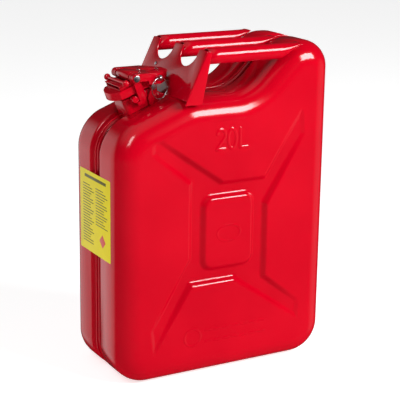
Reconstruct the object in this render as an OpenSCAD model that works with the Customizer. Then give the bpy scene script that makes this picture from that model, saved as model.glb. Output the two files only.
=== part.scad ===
// Twenty-litre pressed-steel fuel can with three carrying handles and a cam-lever closure.
// Millimetres. X runs along the can with the spout end at -X, Z is up, and the can
// stands on Z = 0 with the origin under the middle of its base.

/* [Can body] */
// Length of the can, front face to back face
can_length = 342; // [335:1:360]
// Thickness of the can across its two broad faces
can_thickness = 164; // [160:1:175]
// Height of the handle tubes' tops above the ground
can_height = 476; // [466:1:480]
// Sheet thickness of the pressed halves
sheet = 1; // [0.8:0.1:1.2]
// Rounding between a broad face and the narrow sides
edge_radius = 32; // [24:1:34]
// Rounding of the two bottom corners
bottom_radius = 49; // [40:1:60]
// Depth of the groove that sinks the seam below the narrow sides
seam_depth = 8; // [6:0.5:9]
// Depth of the stiffening channels in the broad faces
channel_depth = 6; // [4:0.5:8]

/* [Handles] */
// Distance between neighbouring handle tubes
handle_spacing = 70; // [60:1:70]
// Outside diameter of a handle tube
tube_diameter = 22; // [18:0.5:22]
// Wall of a handle tube
tube_wall = 1.5; // [1:0.25:2]

/* [Spout and closure] */
// Lean of the spout towards the front, in degrees
neck_lean = 21; // [18:1:24]
// Radius of the round mouth in the spout
mouth_radius = 16.5; // [14:0.5:17]
// Radius of the cap's round front edge
cap_radius = 33; // [31:0.5:34]
// Radius of the lever's pivot pin
pivot_radius = 2.5; // [2:0.25:2.5]
// Radius of the removable safety pin
lock_pin_radius = 2; // [1.5:0.25:2.25]
// Mean radius of the split ring on the safety pin
ring_radius = 14.2; // [12:0.2:15]

/* [Label] */
// Width and height of the yellow label
label_size = [100, 118]; // [60:1:120]

/* [Hidden] */
$fn = 48;

RED = "#b8131a";
DARK_RED = "#9c0f16";
STEEL = "#b9bcc0";
RUBBER = "#2b2b2d";
LABEL_YELLOW = "#f2dc1e";

half_l = can_length / 2;
half_t = can_thickness / 2;
well_depth = 68;
floor_z = can_height - well_depth;
face_centre = [0, 214];
play = 0.05;
// Long enough for a cutter to pass through anything
far = 60;

// ---- Outline of the can in the X-Z plane: corners as [x, z, radius, arc steps] ----
CORNERS = [
    [-half_l, 0, bottom_radius, 8],
    [half_l, 0, bottom_radius, 8],
    [half_l, can_height, 39, 8],
    [107, can_height, 36, 5],
    [39, floor_z, 65, 6],
    [-60, floor_z, 60, 3],
    [-half_l, floor_z - (half_l - 60) * tan(neck_lean), 55, 8]
];

function unit(v) = v / norm(v);
function cross2(a, b) = a[0] * b[1] - a[1] * b[0];
function wrap(i, n) = (i + n) % n;

// Points of one rounded corner, moved in by the inset; a hollow corner grows instead
function corner_arc(before, at, after, radius, steps, inset) =
    let (
        a = unit(before - at),
        b = unit(after - at),
        turn = cross2(-a, b) > 0 ? 1 : -1,
        half = acos(a * b) / 2,
        centre = at + unit(a + b) * radius / sin(half),
        r = radius - turn * inset,
        first = turn > 0 ? atan2(a[0], -a[1]) : atan2(-a[0], a[1]),
        sweep = 180 - 2 * half
    )
    [for (k = [0 : steps])
        let (angle = first + turn * sweep * k / steps)
        centre + r * [cos(angle), sin(angle)]];

function corner_xz(i) = [CORNERS[i][0], CORNERS[i][1]];
function outline(inset) =
    let (n = len(CORNERS))
    [for (i = [0 : n - 1])
        for (p = corner_arc(corner_xz(wrap(i - 1, n)), corner_xz(i), corner_xz(wrap(i + 1, n)),
                            CORNERS[i][2], CORNERS[i][3], inset))
            p];
OUTLINE_POINTS = len(outline(0));

// Closed solid through rings of the outline; profile holds [inset, y] pairs, y rising
module ring_solid(profile) {
    n = OUTLINE_POINTS;
    last = len(profile) - 1;
    rings = [for (step = profile) for (p = outline(step[0])) [p[0], step[1], p[1]]];
    first_centre = len(rings);
    last_centre = first_centre + 1;
    points = concat(rings, [
        [face_centre[0], profile[0][1], face_centre[1]],
        [face_centre[0], profile[last][1], face_centre[1]]
    ]);
    sides = [for (k = [0 : last - 1]) for (i = [0 : n - 1])
        let (a = k * n + i, b = k * n + wrap(i + 1, n))
        each [[a, b, b + n], [a, b + n, a + n]]];
    first_cap = [for (i = [0 : n - 1]) [first_centre, wrap(i + 1, n), i]];
    last_cap = [for (i = [0 : n - 1]) [last_centre, last * n + i, last * n + wrap(i + 1, n)]];
    polyhedron(points, concat(sides, first_cap, last_cap), convexity = 6);
}

// Closed band whose cross-section is the loop of [inset, y] pairs, carried round the outline
module ring_band(section) {
    n = OUTLINE_POINTS;
    m = len(section);
    points = [for (corner = section) for (p = outline(corner[0])) [p[0], corner[1], p[1]]];
    faces = [for (k = [0 : m - 1]) for (i = [0 : n - 1])
        let (a = k * n + i, b = k * n + wrap(i + 1, n), c = wrap(k + 1, m) * n)
        each [[a, b, c + wrap(i + 1, n)], [a, c + wrap(i + 1, n), c + i]]];
    polyhedron(points, faces, convexity = 6);
}

function edge_round(inset, steps = 6) =
    let (r = edge_radius - inset, y = half_t - edge_radius)
    [for (k = [0 : steps]) [edge_radius - r * cos(90 * k / steps), y + r * sin(90 * k / steps)]];

// Half of the can as a solid block: weld flange, sunk groove, narrow side, rounding, broad face
flange_inset = 1;
groove_floor_y = 8;
groove_top_y = 16.5;
module pressed_block() {
    ring_solid(concat(
        [[flange_inset, 0], [flange_inset, sheet], [seam_depth, sheet], [seam_depth, groove_floor_y],
         [seam_depth - 1.5, groove_floor_y + 2.5], [2, groove_top_y - 3.5], [0, groove_top_y]],
        edge_round(0)
    ));
}

// The inside of the same half, one sheet thickness in from every outer surface
module pressed_hollow() {
    ring_solid(concat(
        [[seam_depth + sheet, -1], [seam_depth + sheet, groove_floor_y + sheet],
         [seam_depth - 0.3, groove_floor_y + 3.4], [3, groove_top_y - 2.6],
         [sheet, groove_top_y + 0.7]],
        edge_round(sheet)
    ));
}

// The stiffening cross: four tapering arms round a raised centre pad, the same when turned 180 degrees
ARM_UPPER_LEFT = [[-120, 362], [-11, 286], [-61, 291], [-120, 338]];
ARM_UPPER_RIGHT = [[60, 286], [118, 378], [122, 345], [61, 248]];
MIDDLE = [[-59, 144], [59, 144], [59, 284], [-59, 284]];
PAD = [[-34, 168], [34, 168], [34, 260], [-34, 260]];
function turned(outline) = [for (p = outline) 2 * face_centre - p];

// A pressed dent or pad with soft walls: wide at the face and narrower at its floor
module pressing(corners, face_r, floor_r, depth) hull() for (p = corners) {
    translate([p[0], half_t + 0.5, p[1]]) rotate([90, 0, 0]) cylinder(r = face_r, h = 0.6, $fn = 16);
    translate([p[0], half_t - depth + 0.2, p[1]]) rotate([90, 0, 0])
        cylinder(r = floor_r, h = 0.2, $fn = 16);
}

module channels(depth, grow) difference() {
    for (arm = [ARM_UPPER_LEFT, ARM_UPPER_RIGHT, turned(ARM_UPPER_LEFT), turned(ARM_UPPER_RIGHT), MIDDLE])
        pressing(arm, 3 + grow, 0.5 + grow, depth);
    pressing(PAD, 5 - grow, 9 - grow, depth + 3);
}

module half_shell() difference() {
    pressed_block();
    channels(channel_depth, 0);
    difference() {
        pressed_hollow();
        channels(channel_depth + sheet, sheet);
    }
    neck_prism(-far, far);
}

module half_shell_left() color(RED) half_shell();
module half_shell_right() color(RED) mirror([0, 1, 0]) half_shell();

// Weld bead along the edge where the two flanges meet
bead_half = 1.5;
bead_inset = 0.3;
module seam_weld() color(DARK_RED) difference() {
    ring_band([[flange_inset, -bead_half], [bead_inset, -bead_half],
               [bead_inset, bead_half], [flange_inset, bead_half]]);
    neck_prism(-far, far);
}

// ---- Handles ----
tube_r = tube_diameter / 2;
tube_z = can_height - tube_r;
plate_foot = [-70, floor_z];
plate_top = [-38, can_height - 2];
plate_angle = atan2(plate_top[0] - plate_foot[0], plate_top[1] - plate_foot[1]);
plate_t = 2;
bracket_half = handle_spacing + tube_r;
// The plate ends halfway through its flanges, and their front edges run halfway through the plate
plate_half = bracket_half - plate_t / 2;
// Where the tubes' back ends meet the rising shoulder, and how steeply they are cut
tail_x = 88;
tail_slope = 40;

// Plane of the leaning bracket plate: 2D x is across the can, 2D y runs up the plate
module plate_frame() translate([plate_foot[0], 0, plate_foot[1]]) rotate([0, plate_angle, 0])
    rotate([90, 0, 90]) children();
plate_len = norm(plate_top - plate_foot);
scallop_r = (handle_spacing - 1.1 * tube_diameter) / 2;
scallop_drop = 5.5;
// On the plate's face: across the can, then up the plate
rivet_at = [42, 36];
slot_at = [61, 36];

module front_bracket() color(RED) {
    difference() {
        plate_frame() linear_extrude(plate_t) difference() {
            translate([-plate_half, -3]) square([2 * plate_half, plate_len + 3]);
            for (side = [-1, 1]) translate([side * handle_spacing / 2, plate_len - scallop_drop]) {
                circle(scallop_r);
                translate([-scallop_r, 0]) square([2 * scallop_r, scallop_drop + 1]);
            }
            translate(slot_at) square([3, 7], center = true);
        }
        translate([-2 * far, -2 * far, floor_z - 20]) cube([2 * far, 4 * far, 20]);
    }
    for (side = [-1, 1]) bracket_flange(side);
}

plate_rise = plate_top[1] - plate_foot[1];
function flange_front(rise) = plate_foot + [rise * tan(plate_angle) + plate_t / 2, rise];

// Side flange of the bracket, welded down on the can's shoulder
module bracket_flange(side) translate([0, side * (bracket_half - plate_t / 2) + plate_t / 2, 0])
    rotate([90, 0, 0]) linear_extrude(plate_t)
        polygon([flange_front(-8), plate_foot + [24, -8], plate_top + [7, -1], flange_front(plate_rise - 1)]);

module bracket_rivet() color(STEEL) plate_frame() translate([rivet_at[0], rivet_at[1], -1.2])
    cylinder(r = 2.5, h = plate_t + 2.4);

module handle_tube(y) color(RED) difference() {
    translate([-36, y, tube_z]) rotate([0, 90, 0]) difference() {
        cylinder(r = tube_r, h = 160);
        translate([0, 0, -1]) cylinder(r = tube_r - tube_wall, h = 162);
    }
    // Slanted front end against the bracket, and slanted back end down on the shoulder
    translate([plate_foot[0], y - 30, plate_foot[1]]) rotate([0, plate_angle, 0])
        translate([-30, 0, -20]) cube([30 + plate_t, 60, 120]);
    translate([tail_x, y - 30, tube_z - tube_r - 1]) rotate([0, -tail_slope, 0])
        translate([-20, 0, -40]) cube([90, 60, 40]);
}
module handle_tube_near() handle_tube(-handle_spacing);
module handle_tube_middle() handle_tube(0);
module handle_tube_far() handle_tube(handle_spacing);

// ---- Spout: everything below is set out in the spout's own leaning frame ----
neck_foot = [-106, 0, 381];
neck_size = [42, 38];
neck_corner = 7;
neck_top = 30;
seat_z = 33;
hinge_at = [28, 30];
pivot_at = [3.5, 56];
lug_at = [-6, 27.9];
lug_r = 4.7;

module at_neck() translate(neck_foot) rotate([0, -neck_lean, 0]) children();
// Lays a 2D outline drawn in the spout's side view flat between two widths
module side_plate(y0, y1) translate([0, y1, 0]) rotate([90, 0, 0]) linear_extrude(y1 - y0) children();
module cross_pin(at, r, y0, y1) translate([at[0], y1, at[1]]) rotate([90, 0, 0])
    cylinder(r = r, h = y1 - y0);
module both_sides() {
    children();
    mirror([0, 1, 0]) children();
}

module rounded_rect(size, r) {
    square([size[0] - 2 * r, size[1]], center = true);
    square([size[0], size[1] - 2 * r], center = true);
    for (x = [-1, 1]) for (y = [-1, 1])
        translate([x * (size[0] / 2 - r), y * (size[1] / 2 - r)]) circle(r);
}
module neck_prism(w0, w1) at_neck() translate([0, 0, w0]) linear_extrude(w1 - w0)
    rounded_rect(neck_size, neck_corner);

module filler_neck() color(DARK_RED) difference() {
    neck_prism(-14, neck_top);
    at_neck() translate([0, 0, -20]) cylinder(r = mouth_radius, h = 60);
}

module mouth_ring() color(DARK_RED) at_neck() translate([0, 0, neck_top]) difference() {
    cylinder(r = mouth_radius + 2.4, h = seat_z - neck_top);
    translate([0, 0, -1]) cylinder(r = mouth_radius, h = 10);
}

module neck_lugs() color(RED) at_neck() both_sides()
    cross_pin(lug_at, lug_r, neck_size[1] / 2, neck_size[1] / 2 + 10);

module hinge_ears() color(RED) at_neck() both_sides() difference() {
    side_plate(neck_size[1] / 2, neck_size[1] / 2 + 2.5) {
        polygon([[13, 1], [27, 1], [33, hinge_at[1]], [hinge_at[0], hinge_at[1] + 5.2], [15, 20]]);
        translate(hinge_at) circle(5.2);
    }
    cross_pin(hinge_at, pivot_radius, 10, 30);
}

module hinge_pin() color(STEEL) at_neck() {
    cross_pin(hinge_at, pivot_radius, -21.5, 21.5);
    both_sides() cross_pin(hinge_at, 4, 21.5, 23);
}

module breather_tube() color(STEEL) at_neck() translate([13.8, 0, -45]) difference() {
    cylinder(r = 3, h = 72);
    translate([0, 0, -1]) cylinder(r = 2, h = 74);
}

label_low = 181;
label_t = 0.2;
module label() color(LABEL_YELLOW) translate([-half_l - label_t, -label_size[0] / 2, label_low])
    cube([label_t, label_size[0], label_size[1]]);

// ---- Cap ----
cap_z = 46;
cap_flat = 24;
cap_back = 22;
skirt_z = 34.5;
wall = 1.5;

// Round at the front, flat at the sides, cut off straight at the back
module cap_outline(inset, back) intersection() {
    circle(cap_radius - inset);
    translate([-far, inset - cap_flat]) square([far + back, 2 * (cap_flat - inset)]);
}

module cap_shell() color(RED) at_neck() {
    difference() {
        translate([0, 0, skirt_z]) linear_extrude(cap_z - skirt_z) cap_outline(0, cap_back);
        translate([0, 0, skirt_z - 1]) linear_extrude(cap_z - wall - skirt_z + 1)
            cap_outline(wall, far);
    }
    // Strap that runs back between the ears and curls round the hinge pin
    difference() {
        side_plate(-17, 17) {
            polygon([[20, cap_z - wall], [21.6, cap_z - wall], [23.2, 31], [28, 30], [33, 30],
                     [33, 33], [24, cap_z], [20, cap_z]]);
            translate(hinge_at) circle(5);
        }
        cross_pin(hinge_at, pivot_radius + play, -30, 30);
    }
}

// Under the cap, from the seat up: rubber gasket, the cup that presses it, disc and rivet
gasket_low = seat_z + 0.1;
gasket_top = gasket_low + 3.5;
gasket_outer = 20.3;
gasket_inner = 12;
disc_low = gasket_low - 1.2;
stem_r = 3;

module seal_cup() color(DARK_RED) at_neck() rotate_extrude()
    polygon([[stem_r, gasket_top], [gasket_outer, gasket_top], [gasket_outer, cap_z - wall],
             [gasket_outer - wall, cap_z - wall], [gasket_outer - wall, gasket_top + wall],
             [stem_r, gasket_top + wall]]);

module gasket() color(RUBBER) at_neck() translate([0, 0, gasket_low]) difference() {
    cylinder(r = gasket_outer, h = gasket_top - gasket_low);
    translate([0, 0, -1]) cylinder(r = gasket_inner, h = far);
}

module gasket_retainer() color(STEEL) at_neck() rotate_extrude()
    polygon([[stem_r, disc_low], [gasket_inner + 2, disc_low], [gasket_inner + 2, gasket_low],
             [gasket_inner, gasket_low], [gasket_inner, gasket_top], [stem_r, gasket_top]]);

module retainer_rivet() color(STEEL) at_neck() {
    translate([0, 0, disc_low - wall]) cylinder(r = 5, h = wall);
    translate([0, 0, disc_low]) cylinder(r = stem_r, h = gasket_top + wall - disc_low);
    translate([0, 0, gasket_top + wall]) cylinder(r = 5, h = wall);
}

module cap_saddle() color(RED) at_neck() {
    translate([-20, -21.5, cap_z]) cube([30, 43, wall]);
    translate([-20, -cap_flat, 52]) cube([14, 2 * cap_flat, wall]);
    both_sides() difference() {
        side_plate(19.5, 21.5) {
            polygon([[-20, cap_z], [10, cap_z], [7.5, 54], [3.5, 52], [-2, 52], [-6, 53.5], [-20, 53.5]]);
            translate(pivot_at) circle(4.5);
            translate([pivot_at[0] - 4, 50]) square([8, 6]);
        }
        cross_pin(pivot_at, pivot_radius + play, 0, 40);
    }
}

bar_at = [-12, 55.7];
module cross_bar() color(RED) at_neck() {
    cross_pin(bar_at, 2.2, -29.5, 29.5);
    for (side = [-1, 1]) translate([bar_at[0], side * 29.5, bar_at[1]]) sphere(4.7);
}

lever_pin_at = [34.1, 44.2];
module locking_lug() color(RED) at_neck() side_plate(-2, 0) difference() {
    polygon([[24, 44], [31, 35.5], [39, 40], [39, 47], [31, 49], [27, 47]]);
    translate(lever_pin_at) circle(lock_pin_radius + 0.4);
    translate(lever_pin_at) rotate(-neck_lean) translate([-lock_pin_radius - 0.4, 0])
        square([2 * lock_pin_radius + 0.8, 20]);
}

// ---- Lever: set out level, from its pivot ----
pivot_world = [
    neck_foot[0] + pivot_at[0] * cos(neck_lean) - pivot_at[1] * sin(neck_lean), 0,
    neck_foot[2] + pivot_at[0] * sin(neck_lean) + pivot_at[1] * cos(neck_lean)
];
lever_half = 34;
roll_r = 6.2;
lever_t = 1.4;
pin_hole_x = 32.8;
LEVER_PLAN = [[0, -lever_half], [37, -lever_half], [59, -10], [59, 10], [37, lever_half], [0, lever_half]];
LEVER_PLAN_INSIDE = [[-9, -lever_half + lever_t], [36.4, -lever_half + lever_t], [57.6, -9.6], [57.6, 9.6],
                     [36.4, lever_half - lever_t], [-9, lever_half - lever_t]];

module lever() color(RED) translate(pivot_world) difference() {
    union() {
        // Pressed tray: top sheet and the walls that follow its edge
        translate([0, 0, -9]) difference() {
            linear_extrude(9 + roll_r) polygon(LEVER_PLAN);
            translate([0, 0, -1]) linear_extrude(10 + roll_r - lever_t) polygon(LEVER_PLAN_INSIDE);
            translate([-1, -50, -1]) cube([20, 100, 6]);
        }
        cross_pin([0, 0], roll_r, -lever_half, lever_half);
    }
    cross_pin([0, 0], roll_r - lever_t, -lever_half - 1, lever_half + 1);
    // Gaps for the saddle's ears and the hook plates
    both_sides() {
        translate([-10, 19, -10]) cube([18, 3, 30]);
        translate([-10, 25, -10]) cube([10, 3.4, 30]);
    }
    cross_pin([pin_hole_x, 0], lock_pin_radius + play, -40, 40);
    translate([38, -6, 0]) linear_extrude(20) rounded_rect([12, 9], 3);
    for (x = [20, 48]) translate([x, 0, 0]) cylinder(r = 1.8, h = 20);
}

module lever_rivets() color(STEEL) translate(pivot_world) for (x = [20, 48]) translate([x, 0, 0]) {
    translate([0, 0, roll_r - lever_t]) cylinder(r = 1.8, h = lever_t);
    translate([0, 0, roll_r]) cylinder(r = 3, h = 0.8);
}

module lever_hooks() color(RED) at_neck() both_sides() difference() {
    side_plate(25.2, 28.2) {
        polygon([[-1.5, 54], [-0.2, 48], [-0.2, 23.1], [-4.6, 23.1], [-4.6, 18.5], [4, 17], [9, 22],
                 [10.5, 34], [9.3, 54]]);
        translate(pivot_at) circle(6);
    }
    cross_pin(pivot_at, pivot_radius, 0, 40);
}

module lever_pivot_pin() color(STEEL) at_neck() {
    cross_pin(pivot_at, pivot_radius, -lever_half, lever_half);
    both_sides() cross_pin(pivot_at, 4.7, lever_half, lever_half + 2);
}

// ---- Safety pin and split ring ----
eye_y = -39;
eye_turn = 17;
pin_world = pivot_world + [pin_hole_x, 0, 0];

module at_eye() translate(pin_world + [0, eye_y, 0]) rotate([0, 0, eye_turn]) children();

module safety_pin() color(STEEL) difference() {
    union() {
        translate(pin_world) cross_pin([0, 0], lock_pin_radius, -36.5, 36.5);
        at_eye() rotate([0, 90, 0]) cylinder(r = 4, h = 4, center = true);
    }
    at_eye() rotate([0, 90, 0]) cylinder(r = 1.6, h = 20, center = true);
}

module split_ring() color(STEEL) at_eye() translate([0, 0, -ring_radius]) rotate([90, 0, 0])
    rotate_extrude() translate([ring_radius, 0]) circle(1);

half_shell_left();
half_shell_right();
seam_weld();
front_bracket();
bracket_rivet();
handle_tube_near();
handle_tube_middle();
handle_tube_far();
filler_neck();
mouth_ring();
neck_lugs();
hinge_ears();
hinge_pin();
breather_tube();
label();
cap_shell();
seal_cup();
gasket();
gasket_retainer();
retainer_rivet();
cap_saddle();
cross_bar();
locking_lug();
lever();
lever_hooks();
lever_rivets();
lever_pivot_pin();
safety_pin();
split_ring();
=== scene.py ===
import math

import bmesh
import bpy
import numpy as np
from mathutils import Matrix, Vector


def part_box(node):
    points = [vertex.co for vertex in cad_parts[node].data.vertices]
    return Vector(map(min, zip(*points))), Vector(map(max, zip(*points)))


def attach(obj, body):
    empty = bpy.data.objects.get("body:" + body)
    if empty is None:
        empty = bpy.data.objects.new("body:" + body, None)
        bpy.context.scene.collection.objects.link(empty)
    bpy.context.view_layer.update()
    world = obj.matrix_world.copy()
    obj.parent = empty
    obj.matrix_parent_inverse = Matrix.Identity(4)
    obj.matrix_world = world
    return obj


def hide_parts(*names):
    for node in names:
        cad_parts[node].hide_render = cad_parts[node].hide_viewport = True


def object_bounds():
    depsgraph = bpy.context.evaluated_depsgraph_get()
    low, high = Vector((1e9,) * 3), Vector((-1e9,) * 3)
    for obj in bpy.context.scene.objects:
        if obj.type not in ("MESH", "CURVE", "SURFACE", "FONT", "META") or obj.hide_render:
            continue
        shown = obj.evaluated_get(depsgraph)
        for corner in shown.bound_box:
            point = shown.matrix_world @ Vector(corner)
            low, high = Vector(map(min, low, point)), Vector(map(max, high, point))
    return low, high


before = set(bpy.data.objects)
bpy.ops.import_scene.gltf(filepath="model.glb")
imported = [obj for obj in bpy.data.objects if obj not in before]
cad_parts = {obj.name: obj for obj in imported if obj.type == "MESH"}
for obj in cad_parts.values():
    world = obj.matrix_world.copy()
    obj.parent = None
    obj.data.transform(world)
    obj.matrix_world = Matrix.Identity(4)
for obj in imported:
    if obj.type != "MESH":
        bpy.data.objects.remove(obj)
cad_low, cad_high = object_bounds()

# Studio. The can stands on a light table in front of a white sweep. One soft box in
# front on the right draws the white streaks, and a tall white board stands behind on
# the spout's side; the rest of the room is dark, so the broad face stays deep red.
MM = 0.001
centre = (cad_low + cad_high) / 2
target = Vector((-4.2 * MM, -3.75 * MM, centre.z + 3.4 * MM))
view_azimuth = math.radians(-29.35)
view_elevation = math.radians(15.56)
view_roll = math.radians(0.79)
back = Vector((
    math.sin(view_azimuth) * math.cos(view_elevation),
    -math.cos(view_azimuth) * math.cos(view_elevation),
    math.sin(view_elevation),
))
camera = bpy.data.objects.new("camera", bpy.data.cameras.new("camera"))
camera.data.lens = 115.5
camera.data.sensor_width = 36
camera.location = target + back * 1.882
camera.rotation_mode = "QUATERNION"
level = (-back).to_track_quat("-Z", "Y")
camera.rotation_quaternion = level @ Matrix.Rotation(view_roll, 3, "Z").to_quaternion()
bpy.context.scene.collection.objects.link(camera)
bpy.context.scene.camera = camera
bpy.context.scene.view_settings.view_transform = "Standard"


def linear(hex_colour, alpha=1.0):
    """sRGB hex to the linear colour that shaders take."""
    parts = [int(hex_colour[i:i + 2], 16) / 255 for i in (1, 3, 5)]
    return [p / 12.92 if p <= 0.04045 else ((p + 0.055) / 1.055) ** 2.4 for p in parts] + [alpha]


def add_node(tree, kind, settings=None, inputs=None):
    """One shader node; an input is a value, or the output socket that feeds it."""
    node = tree.nodes.new(kind)
    for key, value in (settings or {}).items():
        setattr(node, key, value)
    for key, value in (inputs or {}).items():
        if isinstance(value, bpy.types.NodeSocket):
            tree.links.new(value, node.inputs[key])
        else:
            node.inputs[key].default_value = value
    return node


def new_material(name):
    """An empty material with its Principled shader, and its tree."""
    material = bpy.data.materials.new(name)
    material.use_nodes = True
    return material, material.node_tree, material.node_tree.nodes["Principled BSDF"]


def add_piece(name, bm, material, body, replaced=(), flat_angle=None):
    """Turns a bmesh into a shown piece that rides on a body."""
    mesh = bpy.data.meshes.new(name)
    bm.to_mesh(mesh)
    bm.free()
    piece = bpy.data.objects.new(name, mesh)
    bpy.context.scene.collection.objects.link(piece)
    mesh.materials.append(material)
    mesh.shade_smooth()
    if flat_angle is not None:
        mesh.set_sharp_from_angle(angle=math.radians(flat_angle))
    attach(piece, body)
    if replaced:
        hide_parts(*replaced)
    return piece


def make_floor():
    """The light table: a plain matt sheet, far larger than the can, lit a little from below."""
    bm = bmesh.new()
    bmesh.ops.create_circle(bm, cap_ends=True, segments=96, radius=6,
                            matrix=Matrix.Translation((0, 0, -0.4 * MM)))
    mesh = bpy.data.meshes.new("floor")
    bm.to_mesh(mesh)
    bm.free()
    floor = bpy.data.objects.new("floor", mesh)
    floor.visible_glossy = False
    bpy.context.scene.collection.objects.link(floor)
    material, tree, shader = new_material("opal_table_sheet")
    shader.inputs["Base Color"].default_value = linear("#d8d8d8")
    shader.inputs["Roughness"].default_value = 0.9
    shader.inputs["Specular IOR Level"].default_value = 0.0
    shader.inputs["Emission Color"].default_value = linear("#ffffff")
    shader.inputs["Emission Strength"].default_value = 0.72
    mesh.materials.append(material)


def add_softbox(name, place, aim, size, power):
    """A rectangular area light that faces a point."""
    light = bpy.data.lights.new(name, "AREA")
    light.shape = "RECTANGLE"
    light.size, light.size_y = size
    light.energy = power
    box = bpy.data.objects.new(name, light)
    box.location = place
    box.rotation_euler = (Vector(aim) - Vector(place)).to_track_quat("-Z", "Y").to_euler()
    bpy.context.scene.collection.objects.link(box)


def make_room():
    """White to the camera; to the can, a dark room with a white board and a pale ceiling."""
    world = bpy.data.worlds.new("studio_room")
    world.use_nodes = True
    bpy.context.scene.world = world
    tree = world.node_tree
    direction = add_node(tree, "ShaderNodeTexCoord").outputs["Generated"]
    room = None
    # Each patch of the room: the way it lies, how wide it is, and how bright
    patches = [
        ((-0.52, 0.84, -0.12), (0.80, 0.93), 0.95),
        ((-0.35, 0.1, 0.93), (0.72, 0.95), 0.55),
        ((0.93, -0.3, -0.2), (0.90, 0.97), 0.35),
    ]
    for way, edge, bright in patches:
        unit = Vector(way).normalized()
        facing = add_node(tree, "ShaderNodeVectorMath", {"operation": "DOT_PRODUCT"},
                          {0: direction, 1: unit})
        patch = add_node(tree, "ShaderNodeMapRange", {"interpolation_type": "SMOOTHSTEP"}, {
            "Value": facing.outputs["Value"], "From Min": edge[0], "From Max": edge[1], "To Min": 0.0,
            "To Max": bright})
        room = patch.outputs["Result"] if room is None else add_node(
            tree, "ShaderNodeMath", {"operation": "ADD"},
            {0: room, 1: patch.outputs["Result"]}).outputs["Value"]
    dim = add_node(tree, "ShaderNodeMath", {"operation": "ADD"}, {0: room, 1: 0.03})
    camera_ray = add_node(tree, "ShaderNodeLightPath").outputs["Is Camera Ray"]
    shown = add_node(tree, "ShaderNodeMath", {"operation": "MAXIMUM"},
                     {0: dim.outputs["Value"], 1: camera_ray})
    tree.links.new(shown.outputs["Value"], tree.nodes["Background"].inputs["Strength"])
    tree.nodes["Background"].inputs["Color"].default_value = (1, 1, 1, 1)


make_floor()
make_room()
add_softbox("key_box", (1.15, -1.75, 1.50), (0, 0, 0.24), (1.1, 0.95), 80)
add_softbox("rim_strip", (-1.5, -0.9, 1.9), (0, 0, 0.35), (0.35, 0.9), 16)


# Pressed halves. Each is one sheet of 0.9 mm deep-drawing steel, pressed with the
# stiffening cross, a raised centre pad and the capacity mark, and sprayed red inside
# and out with stoving enamel, which is glossy with a faint orange peel.
half_length = cad_high.x
half_thick = cad_high.y
can_top = cad_high.z
well_floor = can_top - 68 * MM
mark_height = 0.8 * MM
front_y = half_thick - mark_height
edge_radius = 32 * MM
sheet = 0.9 * MM
# Corners of the side outline: x, z, radius, steps
OUTLINE = [
    (-half_length, 0, 49 * MM, 16),
    (half_length, 0, 49 * MM, 16),
    (half_length, can_top, 39 * MM, 14),
    (107 * MM, can_top, 36 * MM, 8),
    (39 * MM, well_floor, 65 * MM, 10),
    (-60 * MM, well_floor, 60 * MM, 6),
    (-half_length, well_floor - (half_length - 60 * MM) * math.tan(math.radians(21)), 55 * MM, 14),
]


def outline_face(bm, y, shrink=0.0):
    """A flat face in the can's side outline, its corners rounded by vertex bevels."""
    corners = [bm.verts.new((x, y, z)) for x, z, radius, steps in OUTLINE]
    bm.faces.new(corners)
    for i, (x, z, radius, steps) in enumerate(OUTLINE):
        here = Vector((x, z))
        before = Vector(OUTLINE[i - 1][:2]) - here
        after = Vector(OUTLINE[(i + 1) % len(OUTLINE)][:2]) - here
        tangent = radius / math.tan(before.angle(after) / 2)
        bmesh.ops.bevel(bm, geom=[corners[i]], offset=tangent, offset_type="OFFSET", segments=steps,
                        profile=0.5, affect="VERTICES", material=-1, clamp_overlap=False)
    face = max(bm.faces, key=lambda f: f.calc_area())
    if shrink:
        bmesh.ops.inset_region(bm, faces=[face], thickness=shrink, use_even_offset=True,
                               use_boundary=True)
    return face


def slice_faces(bm, faces, normal, values):
    """Cuts flat faces by parallel planes, working upwards so each cut is small."""
    done = []
    for value in values:
        geometry = set(faces)
        for face in faces:
            geometry.update(face.edges)
            geometry.update(face.verts)
        cut = bmesh.ops.bisect_plane(bm, geom=list(geometry), dist=1e-7, plane_co=normal * value,
                                     plane_no=normal)
        made = [g for g in cut["geom"] if isinstance(g, bmesh.types.BMFace)]
        faces = [f for f in made if f.calc_center_median().dot(normal) > value]
        done += [f for f in made if f.calc_center_median().dot(normal) <= value]
    return done + faces


def smooth_step(t):
    """0 to 1 with level ends, as a sheet bends over a soft die edge."""
    t = np.clip(t, 0, 1)
    return t * t * (3 - 2 * t)


def polygon_distance(points, corners):
    """Signed distance from points to a closed outline, negative inside."""
    nearest = np.full(len(points), 1e9)
    inside = np.zeros(len(points), bool)
    for a, b in zip(corners, np.roll(corners, -1, axis=0)):
        along, to = b - a, points - a
        t = np.clip(to @ along / (along @ along), 0, 1)
        nearest = np.minimum(nearest, np.linalg.norm(to - t[:, None] * along, axis=1))
        crosses = (a[1] > points[:, 1]) != (b[1] > points[:, 1])
        x_cross = a[0] + (points[:, 1] - a[1]) / (b[1] - a[1] + 1e-12) * along[0]
        inside ^= crosses & (points[:, 0] < x_cross)
    return np.where(inside, -nearest, nearest)


def box_distance(points, middle, half_size, radius):
    """Signed distance to a rounded rectangle."""
    over = np.abs(points - middle) - (np.array(half_size) - radius)
    return np.linalg.norm(np.maximum(over, 0), axis=1) + np.minimum(over.max(1), 0) - radius


def stroke_distance(points, path):
    """Distance to an open line of straight strokes."""
    nearest = np.full(len(points), 1e9)
    for a, b in zip(path[:-1], path[1:]):
        along, to = b - a, points - a
        t = np.clip(to @ along / (along @ along), 0, 1)
        nearest = np.minimum(nearest, np.linalg.norm(to - t[:, None] * along, axis=1))
    return nearest


def arc(middle, radii, start, stop, steps=14):
    """Points along part of an ellipse, angles in degrees."""
    angles = np.radians(np.linspace(start, stop, steps))
    return np.c_[middle[0] + radii[0] * np.cos(angles), middle[1] + radii[1] * np.sin(angles)]


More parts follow.
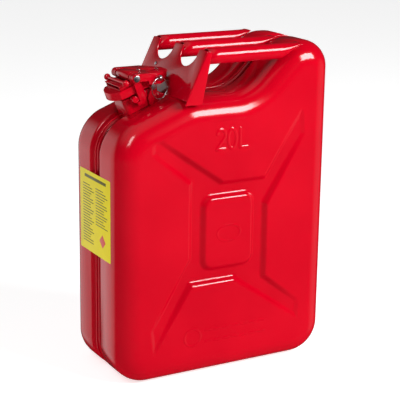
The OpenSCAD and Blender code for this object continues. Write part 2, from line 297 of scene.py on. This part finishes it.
HALF_CROSS = np.array([(-120, 362), (-11, 286), (60, 286), (118, 378), (122, 345), (61, 248),
                       (61, 137), (120, 90)])
CROSS = np.concatenate([HALF_CROSS, (0, 428) - HALF_CROSS])
# The capacity mark, as strokes on a mark 28 mm high: a two, a nought and an L
MARK_LOW, MARK_HIGH = 335, 363
TWO = np.concatenate([arc((-15, 355.5), (6.5, 7.5), 170, -35, 12), [(-22.5, MARK_LOW), (-8, MARK_LOW)]])
NOUGHT = arc((2.5, 349), (6.5, 14), 0, 360, 28)
ELL = np.array([(15.5, MARK_HIGH), (15.5, MARK_LOW), (28, MARK_LOW)])
FILL_LINE = np.array([(-18, 378), (22, 378)])
# A plain oval stands on the pad, and a ring with dashes near the foot
PAD_OVAL = arc((0, 212), (19, 12), 0, 360, 32)
FOOT_RING = arc((-57, 62), (13, 13), 0, 360, 28)
FOOT_DASHES = [np.array([(x, z), (x + 9, z)]) for z in (70, 53) for x in range(-36, 56, 15)]


def pressed_depth(x, z):
    """How far the sheet is pressed in from the flat face at a point, in metres."""
    points = np.c_[x, z] / MM
    wall = 9.0
    cross = smooth_step(0.5 - polygon_distance(points, CROSS) / wall)
    fade = smooth_step((130 - np.abs(points[:, 0])) / 62)
    pad = smooth_step(0.5 + box_distance(points, (0, 214), (40.5, 53), 15) / wall)
    depth = 6.4 * cross * (0.25 + 0.75 * fade) * pad
    raised = np.zeros(len(points))
    for path in [TWO, NOUGHT, ELL, FILL_LINE]:
        raised = np.maximum(raised, smooth_step((2.6 - stroke_distance(points, path)) / 1.6))
    for path in [PAD_OVAL, FOOT_RING] + FOOT_DASHES:
        raised = np.maximum(raised, 0.75 * smooth_step((1.9 - stroke_distance(points, path)) / 1.4))
    return depth * MM - raised * mark_height


# The spout leans forward 21 degrees on the front slope
neck_foot = Vector((-106 * MM, 0, 381 * MM))
neck_lean = math.radians(21)
neck_axis = Vector((-math.sin(neck_lean), 0, math.cos(neck_lean)))
neck_across = Vector((math.cos(neck_lean), 0, math.sin(neck_lean)))
neck_half = (20.4 * MM, 18.4 * MM)


def open_at_neck(bm):
    """Cuts the hole under the spout: four planes bound it, and what lies between goes."""
    def near(face, reach=0.0):
        offset = face.calc_center_median() - neck_foot
        return (abs(offset.dot(neck_across)) < neck_half[0] + reach and abs(offset.y) < neck_half[1] + reach
                and abs(offset.dot(neck_axis)) < 30 * MM)

    cuts = [(neck_across, neck_half[0]), (neck_across, -neck_half[0]), (Vector((0, 1, 0)), -neck_half[1])]
    for normal, away in cuts:
        chosen = [f for f in bm.faces if near(f, 60 * MM)]
        geometry = {g for f in chosen for g in [f, *f.edges, *f.verts]}
        bmesh.ops.bisect_plane(bm, geom=list(geometry), dist=1e-7, plane_no=normal,
                               plane_co=neck_foot + normal * away)
    bmesh.ops.delete(bm, geom=[f for f in bm.faces if near(f)], context="FACES")


def pressed_half(side):
    """One half from the outline face: rolled edge, narrow side, sunk groove, pressed face."""
    bm = bmesh.new()
    face = outline_face(bm, -front_y)
    rim = list(face.edges)
    walls = bmesh.ops.extrude_edge_only(bm, edges=rim)["geom"]
    loose = [g for g in walls if isinstance(g, bmesh.types.BMVert)]
    groove_start = 16.5 * MM
    bmesh.ops.translate(bm, verts=loose, vec=(0, front_y - groove_start, 0))
    open_edges = [e for e in bm.edges if e.is_boundary]
    back_face = bmesh.ops.edgeloop_fill(bm, edges=open_edges)["faces"][0]
    bmesh.ops.recalc_face_normals(bm, faces=bm.faces)
    # The side rolls over into a groove 8 mm deep, where the two flanges meet
    groove = [(0.7, 1.5), (1.2, 1.3), (1.9, 1.1), (2.2, 1.5), (1.3, 1.6), (0.7, 1.6), (0, 6.9)]
    for inward, along in groove:
        bmesh.ops.inset_region(bm, faces=[back_face], thickness=inward * MM, depth=along * MM,
                               use_even_offset=True, use_boundary=True)
    bmesh.ops.delete(bm, geom=[back_face], context="FACES_ONLY")
    edge = [e for e in bm.edges if all(abs(v.co.y + front_y) < 1e-7 for v in e.verts)]
    bmesh.ops.bevel(bm, geom=edge, offset=edge_radius, offset_type="OFFSET", segments=9, profile=0.5,
                    affect="EDGES", material=-1, clamp_overlap=False)
    flat = [f for f in bm.faces if all(abs(v.co.y + front_y) < 1e-6 for v in f.verts)]
    across = np.arange(-150, 151, 3.0) * MM
    upward = np.arange(24, 450, 3.0) * MM
    flat = slice_faces(bm, flat, Vector((1, 0, 0)), across)
    flat = slice_faces(bm, flat, Vector((0, 0, 1)), upward)
    # Finer mesh where the sheet bends, and finer again at the marks
    middles = np.array([f.calc_center_median() for f in flat])
    plan = middles[:, [0, 2]] / MM
    near_wall = np.minimum(np.abs(polygon_distance(plan, CROSS)),
                           np.abs(box_distance(plan, (0, 214), (40.5, 53), 15))) < 8
    near_mark = np.zeros(len(plan), bool)
    for path in [TWO, NOUGHT, ELL, FILL_LINE, PAD_OVAL, FOOT_RING] + FOOT_DASHES:
        near_mark |= stroke_distance(plan, path) < 4.5
    for chosen, cuts in ((near_wall & ~near_mark, 1), (near_mark, 3)):
        edges = {e for f, pick in zip(flat, chosen) if pick for e in f.edges}
        bmesh.ops.subdivide_edges(bm, edges=list(edges), cuts=cuts, use_grid_fill=True)
        flat = [f for f in flat if f.is_valid]
        if cuts == 1:
            order = {f: m for f, m in zip(flat, near_mark)}
            near_mark = np.array([order.get(f, False) for f in flat])
    plane = [v for v in bm.verts if abs(v.co.y + front_y) < 1e-6]
    depth = pressed_depth(np.array([v.co.x for v in plane]), np.array([v.co.z for v in plane]))
    for vert, push in zip(plane, depth):
        vert.co.y += push
    open_at_neck(bm)
    bmesh.ops.recalc_face_normals(bm, faces=bm.faces)
    if side > 0:
        bmesh.ops.scale(bm, vec=(1, -1, 1), verts=bm.verts)
        bmesh.ops.reverse_faces(bm, faces=bm.faces)
    return bm


def red_enamel():
    """Stoved gloss enamel on steel: deep red, hard and clear, with faint orange peel."""
    material, tree, shader = new_material("red_stoving_enamel")
    place = add_node(tree, "ShaderNodeTexCoord").outputs["Object"]
    cloud = add_node(tree, "ShaderNodeTexNoise", inputs={"Vector": place, "Scale": 9.0, "Detail": 3.0})
    tone = add_node(tree, "ShaderNodeValToRGB", inputs={"Fac": cloud.outputs["Fac"]})
    tone.color_ramp.elements[0].color = linear("#ad0016")
    tone.color_ramp.elements[1].color = linear("#b60018")
    tone.color_ramp.elements[0].position = 0.35
    tone.color_ramp.elements[1].position = 0.65
    tree.links.new(tone.outputs["Color"], shader.inputs["Base Color"])
    peel = add_node(tree, "ShaderNodeTexNoise", inputs={"Vector": place, "Scale": 260.0, "Detail": 1.0})
    swell = add_node(tree, "ShaderNodeTexNoise", inputs={"Vector": place, "Scale": 14.0, "Detail": 1.0})
    fine = add_node(tree, "ShaderNodeBump",
                    inputs={"Height": peel.outputs["Fac"], "Strength": 0.05, "Distance": 0.0004})
    broad = add_node(tree, "ShaderNodeBump", inputs={
        "Height": swell.outputs["Fac"], "Strength": 0.12, "Distance": 0.003,
        "Normal": fine.outputs["Normal"]})
    tree.links.new(broad.outputs["Normal"], shader.inputs["Normal"])
    gloss = add_node(tree, "ShaderNodeMapRange", inputs={
        "Value": cloud.outputs["Fac"], "To Min": 0.10, "To Max": 0.17})
    tree.links.new(gloss.outputs["Result"], shader.inputs["Roughness"])
    shader.inputs["Specular IOR Level"].default_value = 0.35
    return material


enamel = red_enamel()
for side, name, node in ((-1, "pressed_half_near", "half_shell_right"),
                         (1, "pressed_half_far", "half_shell_left")):
    half = add_piece(name, pressed_half(side), enamel, "can", (node,))
    thicken = half.modifiers.new("sheet", "SOLIDIFY")
    thicken.thickness = sheet
    thicken.offset = -1

# Weld bead. The two flanges meet in the middle of the groove and are seam welded all
# round; the bead is a narrow rippled ridge of the same steel, under the same enamel.
def weld_bead():
    """The bead's profile drawn round the outline: one ring of edges after another, then closed."""
    bm = bmesh.new()
    face = outline_face(bm, 0)
    for edge in [e for e in face.edges if e.calc_length() > 6 * MM]:
        bmesh.ops.subdivide_edges(bm, edges=[edge], cuts=int(edge.calc_length() / (3 * MM)))
    loop = [corner.vert for corner in max(bm.faces, key=lambda f: f.calc_area()).loops]
    start = [v.co.copy() for v in loop]
    inward = []
    for i, here in enumerate(start):
        along = start[(i + 1) % len(start)] - start[i - 1]
        across = Vector((-along.z, 0, along.x)).normalized()
        inward.append(across if (centre - here).dot(across) > 0 else -across)
    bmesh.ops.delete(bm, geom=list(bm.faces), context="FACES_ONLY")
    profile = [(2.4, -1.2), (1.0, -1.2), (0.5, -0.7), (0.4, 0), (0.5, 0.7), (1.0, 1.2), (2.4, 1.2)]
    ring, first = loop, None
    for inset, y in profile:
        if first is None:
            first = edges = list(bm.edges)
        else:
            where = {tuple(round(c, 8) for c in v.co): i for i, v in enumerate(ring)}
            made = bmesh.ops.extrude_edge_only(bm, edges=edges)["geom"]
            edges = [g for g in made if isinstance(g, bmesh.types.BMEdge)
                     and all(v in made for v in g.verts)]
            moved = {where[tuple(round(c, 8) for c in g.co)]: g for g in made
                     if isinstance(g, bmesh.types.BMVert)}
            ring = [moved[i] for i in range(len(ring))]
        for i, vert in enumerate(ring):
            ripple = 0.12 * math.sin(i * 1.9) if abs(y) < 1 else 0
            vert.co = start[i] + inward[i] * (inset + ripple) * MM + Vector((0, y * MM, 0))
    bmesh.ops.bridge_loops(bm, edges=[e for e in bm.edges if e.is_boundary])
    bmesh.ops.recalc_face_normals(bm, faces=bm.faces)
    return bm


add_piece("weld_bead", weld_bead(), enamel, "can", ("seam_weld",))


# Handle bracket. One piece of 2 mm plate, blanked with two round scallops between three
# prongs, folded back at both ends and spot welded to the shoulder in front of the tubes.
tube_spacing = 70 * MM
tube_radius = 11 * MM
plate_thick = 2 * MM
plate_foot = Vector((-70 * MM, 0, well_floor))
plate_top = Vector((-38 * MM, 0, can_top - 2 * MM))
plate_up = (plate_top - plate_foot).normalized()
plate_length = (plate_top - plate_foot).length
bracket_half = tube_spacing + tube_radius
scallop_radius = 22.9 * MM


def bracket():
    """The scalloped plate, then its two side flanges."""
    bm = bmesh.new()
    low = plate_length - 5.5 * MM - scallop_radius
    plate_half = bracket_half - plate_thick / 2
    outline = [(-plate_half, -1 * MM), (plate_half, -1 * MM), (plate_half, plate_length)]
    for side in (1, -1):
        for step in (1, -1):
            across = side * tube_spacing / 2 + step * scallop_radius
            pair = [(across, plate_length), (across, low)]
            outline += pair if step == 1 else pair[::-1]
    outline.append((-plate_half, plate_length))
    corners = [bm.verts.new((x, y, 0)) for x, y in outline]
    bm.faces.new(corners)
    notch = [v for v in corners if abs(v.co.y - low) < 1e-6]
    bmesh.ops.bevel(bm, geom=notch, offset=scallop_radius * 0.98, segments=12, profile=0.5, affect="VERTICES",
                    material=-1)
    prongs = [v for v in bm.verts if v.co.y > plate_length - 1e-6]
    bmesh.ops.bevel(bm, geom=prongs, offset=2.5 * MM, segments=4, profile=0.5, affect="VERTICES", material=-1)
    thicken_flat(bm, plate_thick)
    axes = Matrix((Vector((0, 1, 0)), plate_up, Vector((0, 1, 0)).cross(plate_up))).transposed().to_4x4()
    bmesh.ops.transform(bm, matrix=Matrix.Translation(plate_foot) @ axes, verts=bm.verts)
    for side in (-1, 1):
        flange = bmesh.new()
        lean = plate_up.x / plate_up.z
        shape = [plate_foot + Vector((1 - 7 * lean, 0, -7)) * MM, plate_foot + Vector((24, 0, -7)) * MM,
                 plate_top + Vector((7, 0, -1)) * MM, plate_top + Vector((1 - lean, 0, -1)) * MM]
        inner = side * bracket_half - (plate_thick if side > 0 else 0)
        tips = [flange.verts.new((p.x, inner, p.z)) for p in shape]
        flange.faces.new(tips)
        bmesh.ops.bevel(flange, geom=tips[2:], offset=2.4 * MM, segments=3, profile=0.5, affect="VERTICES",
                        material=-1)
        thicken_flat(flange, plate_thick, Vector((0, 1, 0)))
        join(bm, flange)
    return bm


def thicken_flat(bm, thickness, direction=Vector((0, 0, 1)), edge=0.45 * MM):
    """Makes a flat face into a plate with softened edges."""
    made = bmesh.ops.extrude_face_region(bm, geom=list(bm.faces))["geom"]
    moved = [g for g in made if isinstance(g, bmesh.types.BMVert)]
    bmesh.ops.translate(bm, vec=direction * thickness, verts=moved)
    bmesh.ops.recalc_face_normals(bm, faces=bm.faces)
    sharp = [e for e in bm.edges if e.is_manifold and e.calc_face_angle() > math.radians(50)]
    bmesh.ops.bevel(bm, geom=sharp, offset=edge, segments=2, profile=0.5, affect="EDGES", material=-1,
                    clamp_overlap=True)


def join(bm, other):
    """Adds another bmesh to this one and frees it."""
    mesh = bpy.data.meshes.new("joined")
    other.to_mesh(mesh)
    other.free()
    bm.from_mesh(mesh)
    bpy.data.meshes.remove(mesh)


add_piece("handle_bracket", bracket(), enamel, "can", ("front_bracket",), flat_angle=35)


# Handle tubes. Three 22 mm steel tubes, cut on the slant against the bracket in front,
# flattened underneath at the back and brazed down on the shoulder.
tube_z = can_top - tube_radius


def handle_tube(y):
    """A ring of the tube drawn along; the last rings close down on to the shoulder."""
    bm = bmesh.new()
    ring = bmesh.ops.create_circle(bm, cap_ends=False, segments=40, radius=tube_radius)["verts"]
    turn = Matrix.Translation((0, y, tube_z)) @ Matrix.Rotation(math.pi / 2, 4, "Y")
    bmesh.ops.transform(bm, matrix=turn, verts=ring)
    slant = (plate_top.x - plate_foot.x) / (plate_top.z - plate_foot.z)
    for vert in ring:
        vert.co.x = plate_foot.x + 3.2 * MM + (vert.co.z - plate_foot.z) * slant
    # Stations along the tube: x, and the share of its height left
    edges = list(bm.edges)
    stations = [(-20, 1), (60, 1), (84, 1), (92, 0.82), (100, 0.56), (107, 0.36), (112, 0.22), (115, 0.08)]
    for x, height in stations:
        made = bmesh.ops.extrude_edge_only(bm, edges=edges)["geom"]
        moved = [g for g in made if isinstance(g, bmesh.types.BMVert)]
        edges = [g for g in made if isinstance(g, bmesh.types.BMEdge)]
        for vert in moved:
            vert.co.x = x * MM
            if x > 84:
                vert.co.z = can_top - (can_top - vert.co.z) * height / last_height
        last_height = height
    bmesh.ops.edgeloop_fill(bm, edges=edges)
    bmesh.ops.recalc_face_normals(bm, faces=bm.faces)
    return bm


for name, y in (("near", -tube_spacing), ("middle", 0), ("far", tube_spacing)):
    tube = add_piece("handle_" + name, handle_tube(y), enamel, "can",
                     ("handle_tube_" + name,), 40)
    wall = tube.modifiers.new("wall", "SOLIDIFY")
    wall.thickness = 1.5 * MM
    wall.offset = -1


# Spout, its cap and the cam lever. Pressed and welded steel parts under the same red
# enamel; every cut edge is broken, so each one carries a fine bright line.
def softened(node, width, segments=2):
    """A node's own shape with its triangles merged back to faces and its edges rounded."""
    bm = bmesh.new()
    bm.from_mesh(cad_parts[node].data)
    bmesh.ops.remove_doubles(bm, verts=bm.verts, dist=1e-6)
    bmesh.ops.dissolve_limit(bm, angle_limit=math.radians(1.5), verts=bm.verts, edges=bm.edges)
    sharp = [e for e in bm.edges if e.is_manifold and e.calc_face_angle() > math.radians(28)]
    bmesh.ops.bevel(bm, geom=sharp, offset=width, segments=segments, profile=0.5, affect="EDGES", material=-1,
                    clamp_overlap=True)
    return bm


# Node, name of the piece, body, edge rounding in mm
ENAMELLED = [
    ("filler_neck", "spout_neck", "can", 0.9), ("mouth_ring", "spout_seat", "can", 0.4),
    ("neck_lugs", "hook_lugs", "can", 0.6), ("hinge_ears", "hinge_ears_welded", "can", 0.4),
    ("cap_shell", "cap_pressing", "cap", 0.5), ("cap_saddle", "cap_saddle_plate", "cap", 0.4),
    ("locking_lug", "pin_keeper", "cap", 0.3), ("seal_cup", "gasket_cup", "cap", 0.3),
    ("lever", "lever_tray", "lever", 0.45), ("lever_hooks", "lever_hook_plates", "lever", 0.5),
]
for node, name, body, width in ENAMELLED:
    add_piece(name, softened(node, width * MM), enamel, body, (node,), flat_angle=32)


# Cross bar. A red-enamelled round bar through the cap's saddle, with a forged ball at
# each end that the lever's hooks are guided by.
def cross_bar():
    """A turned bar: its half profile spun about the bar's own axis."""
    low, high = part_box("cross_bar")
    middle = (low + high) / 2
    ball = (high.z - low.z) / 2
    bar = 2.2 * MM
    reach = high.y - ball
    bm = bmesh.new()
    start = math.asin(bar / ball)
    path = [(0, -high.y)]
    path += [(ball * math.sin(a), -reach - ball * math.cos(a)) for a in np.linspace(0.25, math.pi - start, 9)]
    path += [(bar, -reach * 0.5), (bar, reach * 0.5)]
    path += [(ball * math.sin(a), reach - ball * math.cos(a)) for a in np.linspace(start, math.pi - 0.25, 9)]
    path += [(0, high.y)]
    verts = [bm.verts.new((middle.x + r, y, middle.z)) for r, y in path]
    edges = [bm.edges.new(pair) for pair in zip(verts[:-1], verts[1:])]
    bmesh.ops.spin(bm, geom=verts + edges, cent=(middle.x, 0, middle.z), axis=(0, 1, 0),
                   angle=math.tau, steps=28, use_merge=True)
    bmesh.ops.remove_doubles(bm, verts=bm.verts, dist=1e-6)
    bmesh.ops.recalc_face_normals(bm, faces=bm.faces)
    return bm


add_piece("cross_bar_balls", cross_bar(), enamel, "cap", ("cross_bar",), flat_angle=40)


# Pins and rivets. Mild steel wire and turned heads, zinc plated: bright grey with a
# faint blue cast, and fine drawing lines round them.
def zinc_steel():
    """Zinc-plated steel: a metal with a cloudy plated surface and light tool marks."""
    material, tree, shader = new_material("zinc_plated_steel")
    place = add_node(tree, "ShaderNodeTexCoord").outputs["Object"]
    cloud = add_node(tree, "ShaderNodeTexNoise", inputs={"Vector": place, "Scale": 180.0, "Detail": 4.0})
    tone = add_node(tree, "ShaderNodeValToRGB", inputs={"Fac": cloud.outputs["Fac"]})
    tone.color_ramp.elements[0].color = linear("#9b9da0")
    tone.color_ramp.elements[1].color = linear("#c9ccd0")
    tree.links.new(tone.outputs["Color"], shader.inputs["Base Color"])
    gloss = add_node(tree, "ShaderNodeMapRange", inputs={
        "Value": cloud.outputs["Fac"], "To Min": 0.16, "To Max": 0.38})
    tree.links.new(gloss.outputs["Result"], shader.inputs["Roughness"])
    shader.inputs["Metallic"].default_value = 1.0
    marks = add_node(tree, "ShaderNodeBump", inputs={
        "Height": cloud.outputs["Fac"], "Strength": 0.15, "Distance": 0.0002})
    tree.links.new(marks.outputs["Normal"], shader.inputs["Normal"])
    return material


zinc = zinc_steel()
PLATED = [
    ("bracket_rivet", "bracket_rivet_head", "can", 0.7), ("hinge_pin", "hinge_pin_plated", "can", 0.5),
    ("breather_tube", "breather_pipe", "can", 0.2), ("gasket_retainer", "gasket_disc", "cap", 0.3),
    ("retainer_rivet", "gasket_rivet", "cap", 0.4), ("lever_rivets", "lever_rivet_heads", "lever", 0.3),
    ("lever_pivot_pin", "pivot_pin_plated", "lever", 0.7),
    ("safety_pin", "safety_pin_plated", "safety_pin", 0.35),
]
for node, name, body, width in PLATED:
    add_piece(name, softened(node, width * MM), zinc, body, (node,), flat_angle=32)


# Split ring. Two turns of 1 mm spring wire, close wound, that hang from the pin's eye.
def split_ring():
    """Two turns: a round of wire spun about the ring's axis while it moves along by one wire."""
    low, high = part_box("split_ring")
    middle = (low + high) / 2
    points = [v.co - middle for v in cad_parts["split_ring"].data.vertices]
    lean = math.copysign(math.radians(17), sum(p.x * p.y for p in points))
    plane = Vector((math.cos(lean), math.sin(lean), 0))
    axis = plane.cross(Vector((0, 0, 1)))
    outer = (high.z - low.z) / 2
    wire = 0.5 * MM
    turns, steps = 2, 96
    bm = bmesh.new()
    place = Matrix((plane, axis, Vector((0, 0, 1)))).transposed().to_4x4()
    place = Matrix.Translation(middle - axis * wire) @ place @ Matrix.Translation((outer - wire, 0, 0))
    bmesh.ops.create_circle(bm, cap_ends=False, segments=10, radius=wire, matrix=place)
    bmesh.ops.spin(bm, geom=list(bm.verts) + list(bm.edges), cent=middle, axis=axis,
                   dvec=axis * (2 * wire / steps), angle=math.tau * turns, steps=steps)
    bmesh.ops.holes_fill(bm, edges=[e for e in bm.edges if e.is_boundary], sides=0)
    bmesh.ops.remove_doubles(bm, verts=bm.verts, dist=1e-7)
    bmesh.ops.recalc_face_normals(bm, faces=bm.faces)
    return bm


add_piece("split_ring_wire", split_ring(), zinc, "split_ring", ("split_ring",))


# Gasket. A flat ring of black nitrile rubber, punched from sheet; dull, with a fine grain.
def nitrile_rubber():
    """Nitrile rubber: nearly black and matt, slightly mottled with filler."""
    material, tree, shader = new_material("nitrile_rubber")
    place = add_node(tree, "ShaderNodeTexCoord").outputs["Object"]
    grain = add_node(tree, "ShaderNodeTexNoise", inputs={"Vector": place, "Scale": 900.0, "Detail": 3.0})
    tone = add_node(tree, "ShaderNodeValToRGB", inputs={"Fac": grain.outputs["Fac"]})
    tone.color_ramp.elements[0].color = linear("#161617")
    tone.color_ramp.elements[1].color = linear("#2c2c2e")
    tree.links.new(tone.outputs["Color"], shader.inputs["Base Color"])
    bump = add_node(tree, "ShaderNodeBump", inputs={
        "Height": grain.outputs["Fac"], "Strength": 0.3, "Distance": 0.0001})
    tree.links.new(bump.outputs["Normal"], shader.inputs["Normal"])
    shader.inputs["Roughness"].default_value = 0.62
    return material


add_piece("gasket_ring", softened("gasket", 0.4 * MM), nitrile_rubber(), "cap",
          ("gasket",), 32)


# Label. Printed yellow vinyl film stuck across the narrow front, over the sunk seam:
# plain bars stand for its lines of small print, and one plain red diamond for its sign.
def vinyl_film(name, low_tone, high_tone):
    """Printed vinyl film: an even ink colour, satin, with a slight mottle from the print."""
    material, tree, shader = new_material(name)
    place = add_node(tree, "ShaderNodeTexCoord").outputs["Object"]
    cloud = add_node(tree, "ShaderNodeTexNoise", inputs={"Vector": place, "Scale": 60.0, "Detail": 3.0})
    tone = add_node(tree, "ShaderNodeValToRGB", inputs={"Fac": cloud.outputs["Fac"]})
    tone.color_ramp.elements[0].color = linear(low_tone)
    tone.color_ramp.elements[1].color = linear(high_tone)
    tree.links.new(tone.outputs["Color"], shader.inputs["Base Color"])
    gloss = add_node(tree, "ShaderNodeMapRange", inputs={
        "Value": cloud.outputs["Fac"], "To Min": 0.32, "To Max": 0.42})
    tree.links.new(gloss.outputs["Result"], shader.inputs["Roughness"])
    shader.inputs["Specular IOR Level"].default_value = 0.25
    return material


label_low, label_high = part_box("label")
film_x = label_high.x


def film_patch(bm, y_range, z_range, lift, corner=0.0):
    """A flat patch of film on the front of the can, facing forward."""
    (y0, y1), (z0, z1) = y_range, z_range
    corners = [bm.verts.new((film_x - lift, y, z)) for y, z in ((y0, z0), (y0, z1), (y1, z1), (y1, z0))]
    face = bm.faces.new(corners)
    if corner:
        bmesh.ops.bevel(bm, geom=corners, offset=corner, segments=4, profile=0.5, affect="VERTICES",
                        material=-1)


def label_sheet():
    bm = bmesh.new()
    film_patch(bm, (label_low.y, label_high.y), (label_low.z, label_high.z), 0.02 * MM, 2 * MM)
    thicken_flat(bm, -0.1 * MM, Vector((1, 0, 0)), 0.02 * MM)
    return bm


def label_bars():
    """The print: a title bar and two columns of short bars of uneven length."""
    bm = bmesh.new()
    film_patch(bm, (-36 * MM, 34 * MM), (288.5 * MM, 293 * MM), 0.15 * MM)
    for left, right, top, rows in ((40, 3, 279, 22), (-2, -42, 279, 14)):
        for row in range(rows):
            length = (left - right) * (0.62 + 0.36 * math.sin(row * 2.3) ** 2)
            top_z = (top - row * 4.0) * MM
            film_patch(bm, ((left - length) * MM, left * MM), (top_z - 1.3 * MM, top_z), 0.15 * MM)
    thicken_flat(bm, -0.03 * MM, Vector((1, 0, 0)), 0.005 * MM)
    return bm


def label_diamond():
    """A square of red ink on its corner."""
    bm = bmesh.new()
    reach = 10 * MM
    middle_y, middle_z = -24 * MM, 206 * MM
    tips = [bm.verts.new((film_x - 0.15 * MM, middle_y + y * reach, middle_z + z * reach))
            for y, z in ((-1, 0), (0, 1), (1, 0), (0, -1))]
    bm.faces.new(tips)
    thicken_flat(bm, -0.03 * MM, Vector((1, 0, 0)), 0.005 * MM)
    return bm


yellow = vinyl_film("yellow_vinyl_label", "#d9c60e", "#e6d512")
add_piece("label_film", label_sheet(), yellow, "can", ("label",))
dark_ink = vinyl_film("dark_printing_ink", "#4b4718", "#6a6420")
add_piece("label_print", label_bars(), dark_ink, "can")
red_ink = vinyl_film("red_printing_ink", "#c8494a", "#d45a52")
add_piece("label_sign", label_diamond(), red_ink, "can")
